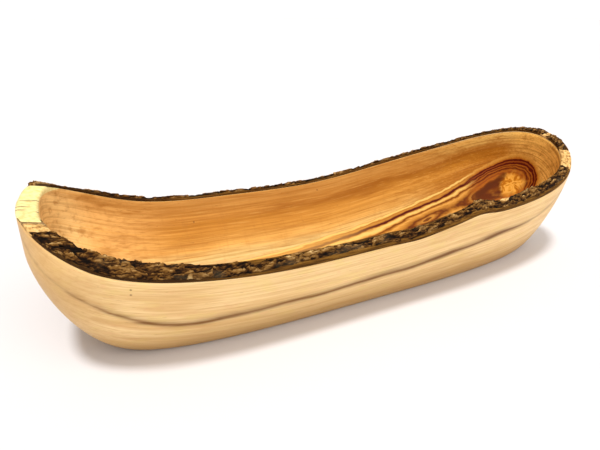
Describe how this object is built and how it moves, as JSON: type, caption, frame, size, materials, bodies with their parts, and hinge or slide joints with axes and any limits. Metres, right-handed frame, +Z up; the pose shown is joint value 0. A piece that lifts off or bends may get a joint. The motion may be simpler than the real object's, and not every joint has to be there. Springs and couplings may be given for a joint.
{
  "type": "bread bowl",
  "caption": "Long bread bowl carved from half of a crooked olive log, with a smooth hollow, a flat base, a sawn end and the log's bark left on its rim.",
  "frame": {"origin": "on the surface that the bowl stands on, under the middle of its length and width", "axes": "+X along the bowl from the sawn end to the round end, +Y from the front rim to the back rim, +Z up"},
  "size_m": [0.42, 0.1252, 0.1034],
  "materials": {
    "olive_wood": "carved, sanded and oiled",
    "inner_bark": "smooth dry bast, unfinished",
    "outer_bark": "rough furrowed bark, unfinished"
  },
  "bodies": {
    "root": {"bowl_body": "olive_wood", "inner_bark": "inner_bark", "outer_bark_front": "outer_bark", "outer_bark_end": "outer_bark", "outer_bark_back": "outer_bark"}
  },
  "joints": []
}
